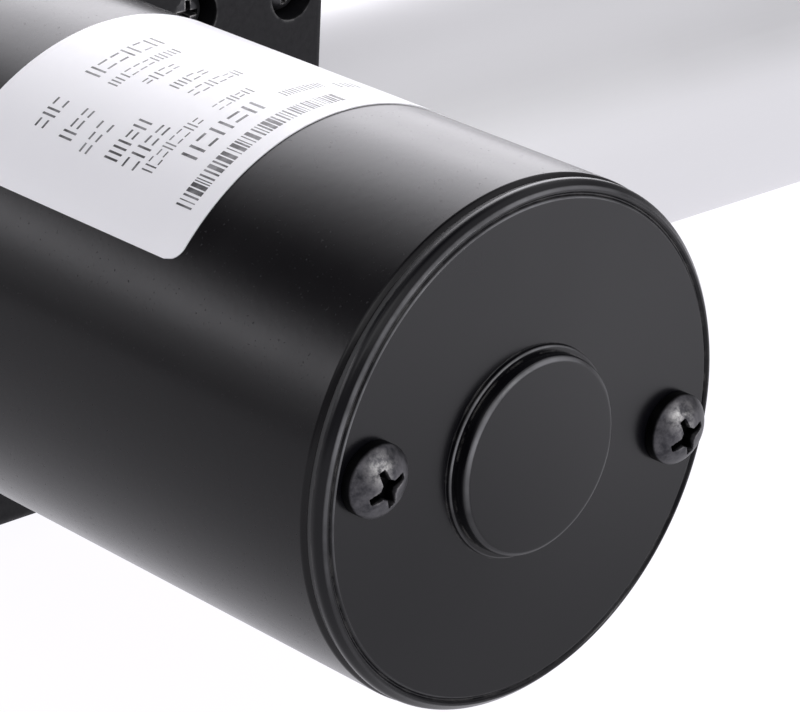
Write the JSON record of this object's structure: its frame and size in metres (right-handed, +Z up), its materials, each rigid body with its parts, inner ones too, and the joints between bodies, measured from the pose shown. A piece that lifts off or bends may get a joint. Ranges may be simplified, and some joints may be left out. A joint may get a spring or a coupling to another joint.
{
  "type": "linear actuator",
  "caption": "Right-angle linear actuator: side motor, worm gear and lead screw push a rod out of a round tube, with a fork at each end.",
  "frame": {"origin": "centre of the rear fork's cross bore", "axes": "+X along the lead screw towards the rod's end, -Y along the motor away from the gear case, +Z up"},
  "size_m": [0.578, 0.162, 0.0845],
  "materials": {
    "black_paint": "satin",
    "cast_black": "fine cast texture",
    "black_screw": "black oxide",
    "anodised_tube": "satin anodised",
    "bare_aluminium": "machined",
    "polished_rod": "fine brushed",
    "steel": "machined",
    "bearing_steel": "ground",
    "bronze": "machined",
    "copper": "enamelled wire",
    "silicon_steel": "stacked sheets",
    "ferrite": "sintered",
    "graphite": "sintered",
    "black_plastic": "moulded",
    "white_plastic": "moulded",
    "red_plastic": "moulded",
    "green_board": "solder mask",
    "rubber": "moulded",
    "label_stock": "coated paper"
  },
  "bodies": {
    "housing": {"gear_case_front": "cast_black", "case_gasket": "rubber", "gear_case_rear": "cast_black", "case_screws": "black_screw", "rear_clevis": "steel", "rear_clevis_screws": "steel", "tube_socket": "bare_aluminium", "outer_tube": "anodised_tube", "tube_screws": "black_screw", "front_guide": "white_plastic", "front_cap": "cast_black", "front_cap_screws": "black_screw", "wiper_seal": "rubber", "screw_bearing_outer_rings": "bearing_steel", "motor_bearing_outer_rings": "bearing_steel", "switch_board": "green_board", "limit_switches": "black_plastic", "terminal_block": "white_plastic", "gland_body": "black_plastic", "gland_nut": "black_plastic", "motor_end_cap": "black_paint", "end_cap_gasket": "rubber", "rear_bush": "bronze", "motor_can": "black_paint", "motor_bolts": "black_screw", "motor_front_plate": "bare_aluminium", "magnets": "ferrite", "brush_plate": "black_plastic", "brushes": "graphite", "brush_springs": "steel", "rating_label": "label_stock"},
    "rotor": {"armature_shaft": "steel", "commutator_core": "black_plastic", "commutator_bars": "copper", "laminations": "silicon_steel", "windings": "copper", "worm": "steel", "motor_bearing_inner_rings": "bearing_steel", "motor_bearing_balls": "bearing_steel"},
    "screw": {"lead_screw": "steel", "lock_nut": "steel", "wheel_key": "steel", "worm_wheel": "bronze", "screw_bearing_inner_rings": "bearing_steel", "screw_bearing_balls": "bearing_steel", "screw_end_guide": "white_plastic"},
    "rod": {"drive_nut": "bronze", "nut_pins": "steel", "rod_tube": "polished_rod", "front_clevis": "steel", "clevis_roll_pin": "steel"},
    "retract_plunger": {"retract_plunger": "red_plastic"},
    "extend_plunger": {"extend_plunger": "red_plastic"}
  },
  "joints": [
    {"name": "motor_spin", "type": "hinge", "parent": "housing", "child": "rotor", "pos_m": [0.056, 0, 0.0235], "axis": [0, -1, 0], "range_deg": [0, 882000.5]},
    {"name": "screw_spin", "type": "hinge", "parent": "housing", "child": "screw", "pos_m": [0, 0, 0], "axis": [-1, 0, 0], "range_deg": [0, 31500.1]},
    {"name": "rod_slide", "type": "slide", "parent": "housing", "child": "rod", "axis": [1, 0, 0], "range_m": [0, 0.35]},
    {"name": "retract_switch_press", "type": "slide", "parent": "housing", "child": "retract_plunger", "axis": [0, 0, -1], "range_m": [0, 0.0006], "stiffness_N_per_m": 300},
    {"name": "extend_switch_press", "type": "slide", "parent": "housing", "child": "extend_plunger", "axis": [0, 0, -1], "range_m": [0, 0.0006], "stiffness_N_per_m": 300}
  ],
  "couplings": [
    {"joint": "screw_spin", "follows": "rod_slide", "rad_per_m": 1570.8},
    {"joint": "motor_spin", "follows": "rod_slide", "rad_per_m": 43982}
  ]
}
